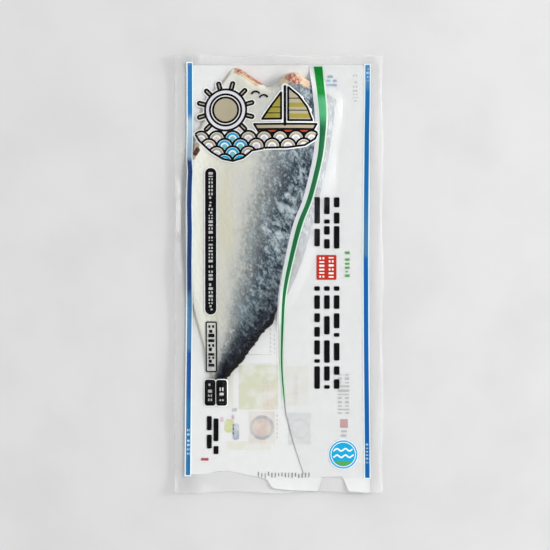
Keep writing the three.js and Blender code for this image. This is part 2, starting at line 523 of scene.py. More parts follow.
skinLook = {
    "cream": (0.70, 0.695, 0.61),
    "yellowish": (0.68, 0.67, 0.53),
    "greyish": (0.60, 0.61, 0.60),
    "pale": (0.82, 0.83, 0.755),
    "grainDark": (0.12, 0.14, 0.135),
    "grainPale": (0.43, 0.46, 0.44),
    "backDark": (0.022, 0.032, 0.045),
    "backMid": (0.088, 0.118, 0.143),
    "backPale": (0.245, 0.295, 0.315),
    # the pale colour of painted glints on the back
    "glint": (0.50, 0.58, 0.62),
    "violet": (0.060, 0.054, 0.090),
    "teal": (0.15, 0.235, 0.245),
    "dusk": (0.34, 0.35, 0.38),
    "tail": (0.14, 0.14, 0.16),
    "navy": (0.009, 0.010, 0.019),
    "edge": (0.0025, 0.0028, 0.004),
    "tan": (0.36, 0.26, 0.15),
    "meat": (0.34, 0.085, 0.055),
    "meatPale": (0.58, 0.40, 0.29),
    "fat": (0.65, 0.57, 0.40),
    "blood": (0.07, 0.018, 0.010),
    "sizes": {"broad": 17, "middle": 6, "marks": 4.4, "streaks": 3.4, "grain": 1.9, "fine": 0.8, "bands": 6,
              "violet": 11},  # of the patterns, in millimetres
    "roughness": (0.36, 0.2),
    "relief": (0.15, 0.8),
    "specular": 0.04,
}


def skinFinish():
    skin, look, size = newFinish("mackerelSkin"), skinLook, skinLook["sizes"]
    across, along = skin.measure("across"), skin.measure("along")
    backGap, bellyGap = skin.measure("backGap"), skin.measure("bellyGap")
    broad = skin.noise(size["broad"], 2)
    middle = skin.noise(size["middle"], 3, (1, 0.7, 1), twist=0.5)
    marks = skin.noise(size["marks"], 3, (1.4, 0.6, 1), roughness=0.6, twist=0.7, turn=-0.7)
    streaks = skin.noise(size["streaks"], 2, (1.3, 0.20, 1), twist=0.4)
    grain = skin.noise(size["grain"], 2, (1.1, 0.8, 1), roughness=0.6)
    fine = skin.noise(size["fine"], 1)
    # cream belly, with soft bands that run along it
    bands = skin.noise(size["bands"], 1, (1.4, 0.10, 1))
    belly = skin.blended(skin.ramped(bands, 0.40, 0.62), look["cream"], look["yellowish"])
    grey = across + (broad - 0.5) * 0.4 + skin.ramped(along, 0.55, 0.85) * 0.10
    belly = skin.blended(skin.ramped(grey, 0.26, 0.54) * 0.85, belly, look["greyish"])
    belly = skin.blended(1 - skin.ramped(across, 0.04, 0.30), belly, look["pale"])
    belly = skin.blended(skin.ramped(grain + (middle - 0.5) * 0.6, 0.48, 0.75) * 0.22, belly, look["greyish"])
    # grains of the strip between belly and back
    shift = (skin.ramped(along, 0.28, 0.58) * 0.06 + skin.ramped(along, 0.60, 0.78) * 0.04
             + skin.ramped(along, 0.80, 1.0) * 0.30)
    border = across + shift + (middle - 0.5) * 0.16 + (broad - 0.5) * 0.08
    speckle = grain + (fine - 0.5) * 0.3 + (streaks - 0.5) * 0.7 + (border - 0.54) * 1.3
    grains = skin.blended(skin.ramped(speckle, 0.25, 0.78), look["grainPale"], look["grainDark"])
    colour = skin.blended(skin.ramped(border, 0.39, 0.60) * 0.75, belly, grains)
    # wavy marks of the back, darker and more violet towards its edge, with the painted glint colour as their
    # palest tone
    tone = marks * 0.8 + middle * 0.6 + broad * 0.35 + grain * 0.55 + fine * 0.2 - 0.75
    back = skin.coloured(tone, (0.36, look["backDark"]), (0.48, look["backMid"]), (0.60, look["backPale"]),
                         (0.82, look["glint"]))
    purple = skin.ramped(skin.noise(size["violet"], 2), 0.50, 0.64) * (1 - skin.ramped(backGap, 4, 16))
    back = skin.blended(purple * 0.6, back, look["violet"])
    tealPatch = skin.ramped(broad + (middle - 0.5) * 0.5, 0.46, 0.60) * skin.ramped(along, 0.45, 0.75)
    back = skin.blended(tealPatch * 0.30, back, look["teal"])
    # painted highlight: a pale glare patch on the back, blended in the painted glint colour
    glint = skin.measure("glint")
    back = skin.blended(skin.ramped(glint + (marks - 0.5) * 1.2, 0.25, 0.95) * 0.7, back, look["glint"])
    dusk = across + skin.ramped(along, 0.5, 0.9) * 0.3 + (middle - 0.5) * 0.5
    dusk = skin.ramped(dusk, 0.72, 1.02) * skin.ramped(along, 0.30, 0.66)
    back = skin.blended(dusk * 0.9, back, look["dusk"], "MULTIPLY")
    tail = skin.ramped(along + (middle - 0.5) * 0.25, 0.78, 0.93)
    back = skin.blended(tail * 0.95, back, look["tail"], "MULTIPLY")
    colour = skin.blended(skin.ramped(border + (grain + marks - 1) * 0.3, 0.50, 0.72), colour, back)
    # near-black edge of the back towards the tail, with navy beside it
    soft = 1 - skin.ramped(backGap + (marks + grain - 1) * 16, 4, 17)
    colour = skin.blended(soft * skin.ramped(along, 0.66, 0.78) * 0.76, colour, look["navy"])
    width = skin.ramped(along, 0.67, 0.77) * 5.4
    dark = 1 - skin.ramped(backGap - width + (marks + grain - 1) * 9, -1.5, 2.0)
    colour = skin.blended(dark * skin.ramped(along, 0.66, 0.71), colour, look["edge"])
    # cut edges of the belly wall
    upper = (1 - skin.ramped(bellyGap, 0.4, 2.0)) * (1 - skin.ramped(along, 0.10, 0.20))
    lower = (1 - skin.ramped(bellyGap, 0.2, 1.1)) * skin.ramped(along, 0.66, 0.72)
    colour = skin.blended(upper * 0.6 + lower * 0.5, colour, look["tan"])
    # flesh and fat at the head cut, and a blood spot on the belly wall
    fat = skin.blended(skin.ramped(middle, 0.42, 0.62), look["fat"], look["meatPale"])
    colour = skin.blended(skin.ramped(skin.measure("fat") + (grain - 0.5) * 0.4, 0.28, 0.60), colour, fat)
    meat = skin.blended(skin.ramped(grain, 0.40, 0.62), look["meat"], look["meatPale"])
    colour = skin.blended(skin.ramped(skin.measure("meat") + (middle - 0.5) * 0.9, 0.30, 0.70), colour, meat)
    stain = skin.ramped(skin.measure("stain") + (middle - 0.5) * 0.9, 0.35, 0.75)
    colour = skin.blended(stain * 0.75, colour, look["tan"])
    blood = skin.ramped(skin.measure("blood") + (grain - 0.5) * 0.9, 0.35, 0.75)
    colour = skin.blended(blood * 0.95, colour, look["blood"])
    least, span = look["roughness"]
    rough = skin.ramped(grain, 0.3, 0.8) * span + least
    relief = skin.bumped(grain + middle * 0.6 + fine * 0.3, *look["relief"])
    return skin.done(skin.surface(Base_Color=colour, Roughness=rough, Normal=relief,
                                  Specular_IOR_Level=look["specular"]))


def buildFish():
    t = 0.5 - 0.5 * np.cos(np.linspace(0, np.pi, fish["columns"]))
    guess, rounds = fish["settle"]
    topY = np.full(len(t), guess)
    for _ in range(rounds):  # settles on the head cut's height over each column
        columnX = mixed(acrossAt(bellyCurve, topY), acrossAt(backCurve, topY), t)
        topY = mixed(topY, np.interp(columnX, headCurve[:, 0], headCurve[:, 1]), 0.5)
    tailY = fish["belly"][-1][1]
    s = np.linspace(0, 1, fish["rows"]) ** fish["rowSpread"]
    y = tailY + s[:, None] * (topY[None, :] - tailY)
    belly, back = acrossAt(bellyCurve, y), acrossAt(backCurve, y)
    smoothX = mixed(belly, back, t[None, :])
    deep, begin, full, last, end = fish["notch"]
    notched = smooth(-y, -begin, -full) * (1 - smooth(-y, -last, -end))
    notch = deep * np.sin(1.3 * y + 1.6 * np.sin(0.8 * y)) * notched
    x = smoothX - notch * t[None, :] ** 4
    depth = np.maximum(depthInside(smoothX, y, outline), 0)
    roundAt = np.minimum(depth / fish["edgeRound"], 1)
    rounded = np.sqrt(1 - (1 - roundAt) ** 2)
    bumps = fish["bumps"] * np.sin(x * 1.3 + np.sin(y * 0.7)) * np.sin(y * 0.9 + x * 0.4)
    under, (edge, least) = fish["under"], fish["edge"]
    height = (fishThickness(x, y) + bumps - under) * rounded + under + edge
    height = np.maximum(np.minimum(height, frontFace(x, y) - fish["clear"]), under + least)
    upper = np.stack([x, y, height], 2)
    lower = np.stack([x, y, np.full(x.shape, fish["under"])], 2)
    points, faces = netShell(upper, lower)
    piece = newPiece("mackerelFillet", points, faces, skinFinish())
    fromCut = lineDistance(x, y, headCurve)
    fat = np.zeros(x.shape)
    for fatX, reachX, reachY in fish["fat"]:
        inRange = 1 - smooth(np.abs(x - fatX), reachX * 0.5, reachX)
        fat = np.maximum(fat, inRange * (1 - smooth(fromCut, reachY * 0.35, reachY)))
    measures = {"across": (x - belly) / np.maximum(back - belly, 1), "along": 1 - s[:, None] + 0 * x,
                "backGap": back - x, "bellyGap": x - belly, "fat": fat,
                "glint": smooth(polygon(fish["glint"])(x, y), -3.5, 2.5)}
    for key in ("meat", "stain", "blood"):
        near = [1 - smooth(lineDistance(x, y, points), half * 0.5, half * 1.5) for half, points in fish[key]]
        measures[key] = np.max(near, axis=0)
    markPoints(piece, measures)


buildFish()
print("fish built")

printArea = {
    "top": 143.0, "left": -62.5, "right": 62.8,
    "end": [(-62.5, -137.2), (-50, -137.4), (-42, -135.2), (-34, -134.9), (-24, -137), (-15, -138.8),
            (-8, -140.5), (-4, -146.5), (8, -148), (28.2, -148.6), (28.8, -139.2), (44, -138.6), (48, -148.6),
            (62.8, -149.6)],  # x and y of the white's uneven lower edge
}


def between(pairs, at):  # values along a line of (place, value) pairs
    places, values = zip(*sorted(pairs))
    return np.interp(at, places, values)


def printField(x, y):
    sides = np.minimum(x - printArea["left"], printArea["right"] - x)
    return np.minimum(sides, np.minimum(printArea["top"] - y, y - between(printArea["end"], x)))


def filmNet(pitch, heightOf):
    columns, rows = round(2 * halfWidth / pitch) + 1, round(2 * halfLength / pitch) + 1
    u, v = np.meshgrid(np.linspace(-1, 1, columns), np.linspace(-1, 1, rows))
    wobble = film["sideWobble"] * np.sin(np.pi * v * halfLength / 83) ** 2
    x = u * (halfWidth - wobble)
    y = v * (halfLength - film["endWobble"] * np.sin(np.pi * x / 58) ** 2)
    return np.stack([x, y, heightOf(x, y)], 2)


def buildFilm(name, pitch, heightOf):
    upper = filmNet(pitch, heightOf)
    lower = upper - np.array([0, 0, film["wall"]])
    points, faces = netShell(upper, lower)
    piece = newPiece(name, points, faces, filmFinish(name + "Finish"))
    x, y = upper[:, :, 0], upper[:, :, 1]
    # the haze is painted darker along the left margin, as painted shade
    measures = {"cloudy": smooth(-printField(x, y), -1, 1), "shaded": 1 - smooth(x, -64, -50)}
    markPoints(piece, measures)


buildFilm("frontFilm", film["frontPitch"], frontFace)
buildFilm("backFilm", film["backPitch"], lambda x, y: backFace(x, y) + film["backTop"])
print("films built")

levels = {  # of the layers of ink: from the front film's face down, and from the table up
    "line": -0.10, "colour": -0.14, "fringe": -0.18, "ground": -0.22, "panel": -0.27,
    "under": 0.13, "white": 0.16, "ghost": 0.19, "ghostTop": 0.22, "ghostMark": 0.25,
}
inkThick = 0.02


def contour(shape, box, pitch):  # the part of a square net that lies inside a shape
    x0, y0, x1, y1 = box
    xs = np.linspace(x0, x1, max(2, round((x1 - x0) / pitch) + 1))
    ys = np.linspace(y0, y1, max(2, round((y1 - y0) / pitch) + 1))
    d = shape(*np.meshgrid(xs, ys))
    d = np.where(np.abs(d) < 1e-4, -1e-4, d)
    d[0], d[-1], d[:, 0], d[:, -1] = [np.minimum(e, -1e-3) for e in (d[0], d[-1], d[:, 0], d[:, -1])]
    seen, points, faces = {}, [], []

    def corner(j, i):
        if (j, i) not in seen:
            seen[j, i] = len(points)
            points.append((xs[i], ys[j]))
        return seen[j, i]

    def crossing(a, b):
        key = (a, b) if a < b else (b, a)
        if key not in seen:
            (ja, ia), (jb, ib) = key
            share = d[ja, ia] / (d[ja, ia] - d[jb, ib])
            seen[key] = len(points)
            points.append((mixed(xs[ia], xs[ib], share), mixed(ys[ja], ys[jb], share)))
        return seen[key]

    positive = d > 0
    busy = positive[:-1, :-1] | positive[1:, :-1] | positive[:-1, 1:] | positive[1:, 1:]
    for j, i in np.argwhere(busy):
        j, i = int(j), int(i)
        around = [(j, i), (j, i + 1), (j + 1, i + 1), (j + 1, i)]
        face = []
        for a, b in zip(around, around[1:] + around[:1]):
            if positive[a]:
                face.append(corner(*a))
            if positive[a] != positive[b]:
                face.append(crossing(a, b))
        faces.append(face)
    return np.array(points), faces


def inkPatch(name, shape, box, pitch, finish, slot, level):
    flat, faces = contour(shape, box, pitch)
    face = frontFace if levels[level] < 0 else backFace
    height = face(flat[:, 0], flat[:, 1]) + levels[level]
    upper = np.column_stack([flat, height])
    lower = np.column_stack([flat, height - inkThick])
    count = len(flat)
    used = {(a, b) for face in faces for a, b in zip(face, face[1:] + face[:1])}
    sides = [(a, a + count, b + count, b) for a, b in sorted(used) if (b, a) not in used]
    under = [[v + count for v in reversed(face)] for face in faces]
    piece = newPiece(name, np.vstack([upper, lower]), faces + under + sides, finish)
    piece.data.set_sharp_from_angle(angle=math.radians(40))
    return piece


def printAll(patches):
    for patch in patches:
        inkPatch(*patch)


inks = {
    "black": (0.003, 0.003, 0.004),
    "white": (0.88, 0.885, 0.89),
    "backWhite": (0.72, 0.725, 0.725),
    "blue": (0.010, 0.148, 0.39),
    "navy": (0.018, 0.050, 0.18),
    "softBlue": (0.010, 0.140, 0.335),
    "paleBlue": (0.36, 0.50, 0.64),
    "midBlue": (0.014, 0.085, 0.30),
    "palest": (0.80, 0.94, 0.98),
    "topBlue": (0.030, 0.17, 0.42),
    "milkBlue": (0.069, 0.195, 0.37),
    "brightBlue": (0.055, 0.22, 0.46),
    "deepBlue": (0.009, 0.122, 0.395),
    "sky": (0.010, 0.38, 0.66),
    "teal": (0.16, 0.52, 0.56),
    "green": (0.003, 0.180, 0.024),
    "paintedGreenHighlight": (0.08, 0.36, 0.17),
    "deepGreen": (0.012, 0.110, 0.045),
    "mint": (0.56, 0.84, 0.60),
    "dullWhite": (0.52, 0.52, 0.515),
    "leaf": (0.10, 0.36, 0.10),
    "red": (0.50, 0.030, 0.018),
    "rose": (0.66, 0.40, 0.40),
    "paleGrey": (0.25, 0.27, 0.26),
    "stamp": (0.07, 0.07, 0.075),
    "tan": (0.44, 0.39, 0.28),
    "olive": (0.34, 0.30, 0.055),
    "lilac": (0.74, 0.735, 0.79),
    "cloth": (0.60, 0.585, 0.665),
    "brick": (0.42, 0.06, 0.035),
    "ghost": (0.58, 0.60, 0.60),
    "ghostYellow": (0.60, 0.615, 0.48),
    "ghostPink": (0.65, 0.60, 0.51),
    "ghostBlush": (0.66, 0.62, 0.58),
    "ghostPale": (0.68, 0.68, 0.61),
    "ghostCream": (0.70, 0.66, 0.58),
    "ghostSteel": (0.38, 0.40, 0.42),
    "ghostSalmon": (0.57, 0.46, 0.42),
    "ghostLime": (0.55, 0.60, 0.30),
    "ghostRose": (0.62, 0.36, 0.44),
    "ghostSlate": (0.34, 0.39, 0.46),
    "ghostLine": (0.54, 0.54, 0.54),
    "underYellow": (0.70, 0.62, 0.18),
    "underSlate": (0.12, 0.15, 0.18),
}

# two blue stripes frame the print, and its panel begins at a long bending green stripe
stripes = {
    "left": [(-60.6, 144.4), (-60.5, 96), (-60.9, 80), (-60.2, 70), (-60.6, 62), (-60.9, 47), (-60.6, 30),
             (-60.9, 8), (-60.8, -20), (-61.4, -76), (-61.9, -137.8)],
    "right": [(61.1, 143.2), (61.1, 122), (60.6, 95), (60.2, 50), (59.9, 13), (60.1, -40), (61.0, -139.6)],
    "width": 3.1,
    "rim": 0.7,  # a pale rim round each
}
green = {
    "line": [(27.2, 142.0, 5.8), (29.4, 120.7, 5.3), (30.4, 104, 4.6), (29.6, 90, 3.7), (27.6, 76, 3.4),
             (21.3, 51, 3.3), (14.6, 33.6, 3.4), (8.7, 10.3, 2.8), (4.1, -13.7, 2.1), (2.6, -42.5, 1.3),
             (2.5, -65.8, 1.0), (4.8, -92.5, 0.6), (6.4, -100, 0.5), (10.2, -115.1, 0.45),
             (17.4, -137, 0.4)],  # x, y, width
    "samples": 96,
    "halo": [(-82, 0.0), (-50, 1.4), (40, 3.0), (140, 3.2)],  # y, and the white ground's reach to the left
    "haloRight": 0.3,  # its reach to the right, as a share
    "rim": [(-10, 0.85), (30, 0.6)],  # y, and the pale rim's width
    "ends": (-82, -86),  # where the white ground and the rim stop
}
panel = {"lead": [(-110, 0.2), (-70, 3.0)], "end": -139.5, "alpha": 0.40}  # lead: y, reach past the stripe
stripeCurve = curveThrough(green["line"], green["samples"])


def stripeSide(y):  # the middle and width of the green stripe
    rows = stripeCurve[::-1]
    return np.interp(y, rows[:, 1], rows[:, 0]), np.interp(y, rows[:, 1], rows[:, 2])


def greenBand(x, y):
    middle, width = stripeSide(y)
    ends = np.minimum(stripeCurve[0, 1] - y, y - stripeCurve[-1, 1])
    return np.minimum(width / 2 - np.abs(x - middle), ends)


def panelField(x, y):
    middle, width = stripeSide(y)
    inPanel = np.minimum(x - middle + width / 2 + between(panel["lead"], y), y - panel["end"])
    return np.minimum(printField(x, y), inPanel)


def greenHalo(x, y):  # white ground that the green stripe is printed on
    middle, width = stripeSide(y)
    lead = between(green["halo"], y)
    sides = np.minimum(x - middle + width / 2 + lead, middle + width / 2 + green["haloRight"] * lead - x)
    return np.minimum(sides, np.minimum(stripeCurve[0, 1] - y, y - green["ends"][0]))


def greenRim(x, y):
    return np.minimum(greenBand(x, y) + between(green["rim"], y), y - green["ends"][1])


def inkOf(name, colour, alpha=1.0, **more):
    return inkFinish(name, inks[colour], alpha, **more)


def runsOf(*stops):  # what a stripe's ink turns into below places along the pouch
    return [(low, high, inks[colour]) for low, high, colour in stops]


fine, coarse, hiddenPitch = 0.3, 0.45, 1.2  # of the nets that the shapes of ink are cut from
wholeBox = (-halfWidth, -halfLength, halfWidth, halfLength)
greenBox, panelBox = (-4, -140, 38, 145), (-6, -145, 66, 145)
leftBox, rightBox = (-66, -141, -56, 147), (56, -143, 66, 147)
leftStripe, rightStripe = [bandAlong(stripes[side], stripes["width"]) for side in ("left", "right")]
# on the green stripe, the light green stretch is a painted highlight
greenRuns = runsOf((117, 124, "paintedGreenHighlight"), (98, 110, "deepGreen"), (-92, -78, "paleGrey"))
# on the left stripe, the pale blue stretch is a painted glare and the navy stretch below it is painted shade
# from the fish
leftRuns = runsOf((103, 111, "paleBlue"), (76, 81, "navy"), (-17, -9, "milkBlue"), (-55, -50, "midBlue"),
                  (-88, -83, "softBlue"))
rightRuns = runsOf((124, 129, "blue"), (18, 62, "milkBlue"), (10, 14, "deepBlue"))
panelInk, paleInk = inkOf("panelInk", "white", panel["alpha"]), inkOf("paleFringe", "palest")
greenInk = inkOf("greenInk", "green", ends=greenRuns)
leftInk = inkOf("leftStripeInk", "topBlue", ends=leftRuns)
rightInk = inkOf("rightStripeInk", "brightBlue", ends=rightRuns)
printAll([  # name, shape, box, pitch, ink, slot, level
    ("whitePanel", panelField, panelBox, 1.0, panelInk, "ink_white", "panel"),
    ("greenHalo", greenHalo, greenBox, 0.6, inkOf("haloInk", "lilac", 0.85), "ink_white", "ground"),
    ("greenFringe", greenRim, greenBox, 0.4, inkOf("mintFringe", "mint", 0.9), "ink_green", "fringe"),
    ("greenStripe", greenBand, greenBox, 0.4, greenInk, "ink_green", "colour"),
    ("blueFringeLeft", grown(leftStripe, stripes["rim"]), leftBox, 0.5, paleInk, "ink_blue", "fringe"),
    ("blueStripeLeft", leftStripe, leftBox, 0.5, leftInk, "ink_blue", "colour"),
    ("blueFringeRight", grown(rightStripe, stripes["rim"]), rightBox, 0.5, paleInk, "ink_blue", "fringe"),
    ("blueStripeRight", rightStripe, rightBox, 0.5, rightInk, "ink_blue", "colour"),
])
print("stripes and panel printed")


# a row of plain bars and dashes along the pouch, of uneven lengths
def barRow(cx, halfX, top, bottom, seed, lengths=(0.9, 2.6), gap=1.1):
    rng, parts, y = np.random.default_rng(seed), [], top
    while y - lengths[0] > bottom:
        length, kind = min(rng.uniform(*lengths), y - bottom), rng.random()
        middle = y - length / 2
        if kind < 0.4:  # a pair of fine dashes in place of one bar
            for side in (-0.62, 0.62):
                parts.append(slab(cx + side * halfX, middle, halfX * 0.34, length / 2, 0.2))
        elif kind < 0.6:  # a bar at one side
            parts.append(slab(cx + halfX * (kind - 0.5) * 4, middle, halfX * 0.5, length / 2, 0.3))
        else:
            parts.append(slab(cx, middle, halfX, length / 2, 0.3))
        y -= length + gap * (2.2 if rng.random() < 0.15 else 1)
    return joined(*parts)


titleLook = {
    "rows": (26.6, 33.3, 40.0),  # x of the three bars in each block
    "blocks": [(52.5, 34.5), (32.8, 17.4), (-8.4, -23.9), (-26.9, -43.0), (-45.4, -60.8), (-63.2, -78.6)],
    "cuts": [[(0, 1)], [(0, 0.38), (0.58, 1)], [(0.12, 0.9)], [(0, 0.64), (0.84, 1)], [(0, 0.2), (0.4, 1)]],
    "half": 1.9,
    "corner": 0.8,
}
tagLook = {"at": (33.0, 4.5), "half": (6.8, 8.5), "corner": 0.8, "bar": 1.75}  # the red square
pillLook = {"x": -46.15, "half": 3.85, "top": 72.3, "bottom": -27.7, "corner": 3.7, "bar": 1.5, "halo": 0.7}
boxLook = {"x": -45.8, "half": 3.5, "top": -32.9, "bottom": -66.7, "corner": 0.6, "line": 0.9, "bar": 2.1}
twinLook = {"x": (-46.7, -38.8), "half": 3.75, "top": -72.3, "bottom": -90.2, "corner": 1.8, "bar": 1.4,
            "halo": 0.6}
signLook = {"rows": [(-47.2, [(0, 0.35), (0.46, 0.8)]), (-42.6, [(0.06, 0.62), (0.74, 0.94)])], "top": -97.3,
            "bottom": -125, "half": 1.65, "corner": 0.8, "red": (-50.3, -126.9, 2.6, 0.9, 0.4)}
stampLook = {"y": -137.6, "x": (-13.5, 22.0), "dash": 0.8, "pitch": 2.3, "half": 1.7, "corner": 0.25,
             "jitter": 0.25, "seed": 3}


def cutBar(look, x, top, bottom, cuts):  # a bar along the pouch, of which only these shares are left
    ends = [(mixed(top, bottom, end), mixed(top, bottom, start)) for start, end in cuts]
    return [slab(x, (low + high) / 2, look["half"], (high - low) / 2, look["corner"]) for low, high in ends]


def titleBlocks():
    look, parts = titleLook, []
    for k, (top, bottom) in enumerate(look["blocks"]):
        for row, x in enumerate(look["rows"]):
            cuts = look["cuts"][(2 * k + 3 * row + k * row) % len(look["cuts"])]
            parts += cutBar(look, x, top, bottom, cuts)
    return joined(*parts)


def signBars():
    look, parts = signLook, []
    for x, cuts in look["rows"]:
        parts += cutBar(look, x, look["top"], look["bottom"], cuts)
    return joined(*parts)


def uprightBar(look, x):
    return cutBar(look, x, look["top"], look["bottom"], [(0, 1)])[0]


def stampDashes():
    look, rng = stampLook, np.random.default_rng(stampLook["seed"])
    xs = np.arange(*look["x"], look["pitch"])
    parts = []
    for x in xs:
        y, width = look["y"] + look["jitter"] * rng.standard_normal(), look["dash"] * rng.uniform(0.7, 1.15)
        parts.append(slab(x, y, width / 2, look["half"] * rng.uniform(0.7, 1.1), look["corner"]))
    return joined(*parts)


blackInk, whiteInk = inkOf("blackInk", "black"), inkOf("whiteInk", "white")
dullInk, leafInk = inkOf("dullWhiteInk", "dullWhite"), inkOf("leafInk", "leaf")
ghostInk = inkOf("ghostInk", "ghost", 0.8)
tag, (tagX, tagY) = slab(*tagLook["at"], *tagLook["half"], tagLook["corner"]), tagLook["at"]
tagBars = joined(*[barRow(tagX + side * 3.2, tagLook["bar"], tagY + 7, tagY - 7, 52 + side, (0.8, 1.6), 1.3)
                   for side in (-1, 1)])
pill, outlined = uprightBar(pillLook, pillLook["x"]), uprightBar(boxLook, boxLook["x"])
twins = joined(*[uprightBar(twinLook, x) for x in twinLook["x"]])
pillBars = barRow(pillLook["x"], pillLook["bar"], 69.5, -25, 21, (0.7, 1.9), 0.9)
boxBars = barRow(boxLook["x"], boxLook["bar"], -35, -65, 22, (1.3, 2.6), 0.6)
twinBars = joined(*[barRow(x, twinLook["bar"], -75 - 2.5 * k, -87, 30 + k, (1.2, 2.6), 1.2)
                    for k, x in enumerate(twinLook["x"])])
tagBox, pillBox, pillWide = (25, -5, 41, 14), (-51, -29, -41, 74), (-52, -30, -40, 75)
outlineBox, twinBox, dateBox = (-51, -69, -40, -31), (-52, -92, -33, -71), (-16, -141, 26, -135)
boxInk, softRed = inkOf("boxInk", "white", 0.6), inkOf("softRedInk", "red", 0.7)
printAll([
    ("titleBars", titleBlocks(), (22, -80, 46, 54), coarse, blackInk, "ink_black", "line"),
    ("redTag", tag, tagBox, fine, inkOf("redInk", "red"), "ink_colours", "colour"),
    ("redTagBars", tagBars, tagBox, fine, whiteInk, "ink_white", "line"),
    ("blackPill", pill, pillBox, coarse, blackInk, "ink_black", "colour"),
    ("pillHalo", grown(pill, pillLook["halo"]), pillWide, coarse, whiteInk, "ink_white", "ground"),
    ("pillBars", pillBars, pillBox, fine, dullInk, "ink_white", "line"),
    ("boxGround", outlined, outlineBox, coarse, boxInk, "ink_white", "ground"),
    ("boxOutline", rimOf(outlined, boxLook["line"]), outlineBox, fine, blackInk, "ink_black", "colour"),
    ("boxBars", boxBars, outlineBox, fine, blackInk, "ink_black", "line"),
    ("twinSquares", twins, twinBox, fine, blackInk, "ink_black", "colour"),
    ("twinHalo", grown(twins, twinLook["halo"]), twinBox, coarse, whiteInk, "ink_white", "ground"),
    ("twinBars", twinBars, twinBox, fine, dullInk, "ink_white", "line"),
    ("signBars", signBars(), (-51, -127, -35, -95), fine, blackInk, "ink_black", "line"),
    ("signRed", slab(*signLook["red"]), (-54, -129, -46, -124), fine, softRed, "ink_colours", "line"),
    ("dateDashes", stampDashes(), dateBox, fine, inkOf("stampInk", "stamp", 0.6), "ink_black", "line"),
])
print("bars printed")


pictureLook = {  # a boat on round waves beside a sun
    "sun": (-36.0, 112.0), "sunRadius": 8.6, "ring": 12.4, "ringWidth": 3.4,
    "rays": 12, "rayFrom": 15.4, "rayTo": 18.6, "rayWidth": 2.2,
    "boat": (4.5, 93.5), "gulls": [(-15.5, 121.5), (-10, 119)], "line": 1.4, "seam": 0.6, "halo": 1.5,
    "scale": 5.4,
    "scaleRows": [(92, -52.8, 8), (86.8, -47.4, 7), (81.6, -42, 3), (76.4, -36.6, 2)],  # y, first x, count
    "shore": [(-59, 99), (-54, 91), (-46, 83.5), (-38, 78.5), (-31, 77), (-24, 79), (-18, 84), (-8, 85.8),
              (6, 86), (18, 87.6), (25, 92), (28, 99), (28, 106), (-59, 106)],
    "blue": (-31, 8.5),  # the scales about this x are blue, to this far away
    "area": (-62, 73, 32, 135),
}


def pictureSea():
    look = pictureLook
    shore, size = polygon(look["shore"]), look["scale"]
    part = {name: [] for name in ("sea", "seaLines", "swell", "drops", "foam", "pebbles")}
    hidden = []
    for y, first, count in reversed(look["scaleRows"]):  # each row lies over the one behind it
        spots = [(first + 2 * size * k, y) for k in range(count)]
        row = joined(*[disc(*spot, size) for spot in spots])
        free = common(shore, outside(joined(*hidden))) if hidden else shore
        part["sea"].append(common(row, free))
        rims = joined(*[rimOf(disc(*spot, size), look["line"]) for spot in spots])
        part["seaLines"].append(common(rims, free))
        for spot in spots:
            blue = abs(spot[0] - look["blue"][0]) < look["blue"][1]
            names = ("swell", "drops") if blue else ("foam", "pebbles")
            part[names[0]].append(common(rimOf(disc(*spot, size * 0.66), 1.5), free))
            part[names[1]].append(common(disc(*spot, size * 0.32), free))
        hidden.append(row)
    part["seaLines"].append(common(rimOf(shore, look["line"]), joined(*hidden)))
    return {name: joined(*shapes) for name, shapes in part.items()}


def pictureShapes():
    look, part = pictureLook, pictureSea()
    dry = outside(part["sea"])
    part["sun"] = disc(*look["sun"], look["sunRadius"])
    part["ring"] = rimOf(disc(*look["sun"], look["ring"]), look["ringWidth"])
    rays = []
    for k in range(look["rays"]):
        turn = 2 * math.pi * (k + 0.5) / look["rays"]
        ends = [(look["sun"][0] + r * math.cos(turn), look["sun"][1] + r * math.sin(turn))
                for r in (look["rayFrom"], look["rayTo"])]
        rays.append(stroke(ends, look["rayWidth"]))
    part["rays"] = common(joined(*rays), dry)
    bx, by = look["boat"]

    def at(*points):
        return [(bx + x, by + y) for x, y in points]

    hull = common(polygon(at((-21, 8.5), (21.5, 8.5), (15, -3), (-14, -3))), dry)
    part["deck"] = common(hull, polygon(at((-24, 8.6), (24, 8.6), (24, 5.0), (-24, 5.0))))
    part["hull"] = common(hull, polygon(at((-24, 5.0), (24, 5.0), (24, 2.4), (-24, 2.4))))
    keel = common(hull, polygon(at((-24, 2.4), (24, 2.4), (24, -4), (-24, -4))))
    part["sail"] = polygon(at((2.2, 11), (2.2, 33.5), (9, 28), (15, 20), (18.5, 11)))
    part["stripes"] = common(part["sail"], joined(*[slab(bx + 10, by + y, 12, 1.5) for y in (14, 21.5)]))
    part["jib"] = polygon(at((-2.6, 12), (-2.6, 30), (-9, 21.5), (-15.5, 12)))
    part["mast"] = stroke(at((0, 8), (0, 34)), 1.8)
    seams = [stroke(at((-2.6, y), (x, y)), look["seam"]) for x, y in ((-13, 16), (-10, 20))]
    seams += [stroke(at((2.2, y), (x, y)), look["seam"]) for x, y in ((16.5, 17.8), (11, 26))]
    part["marks"] = joined(keel, *seams)
    part["gulls"] = joined(*[stroke(arc(x, y, 3.0, 35, 150, 8), 1.2) for x, y in look["gulls"]])
    return part


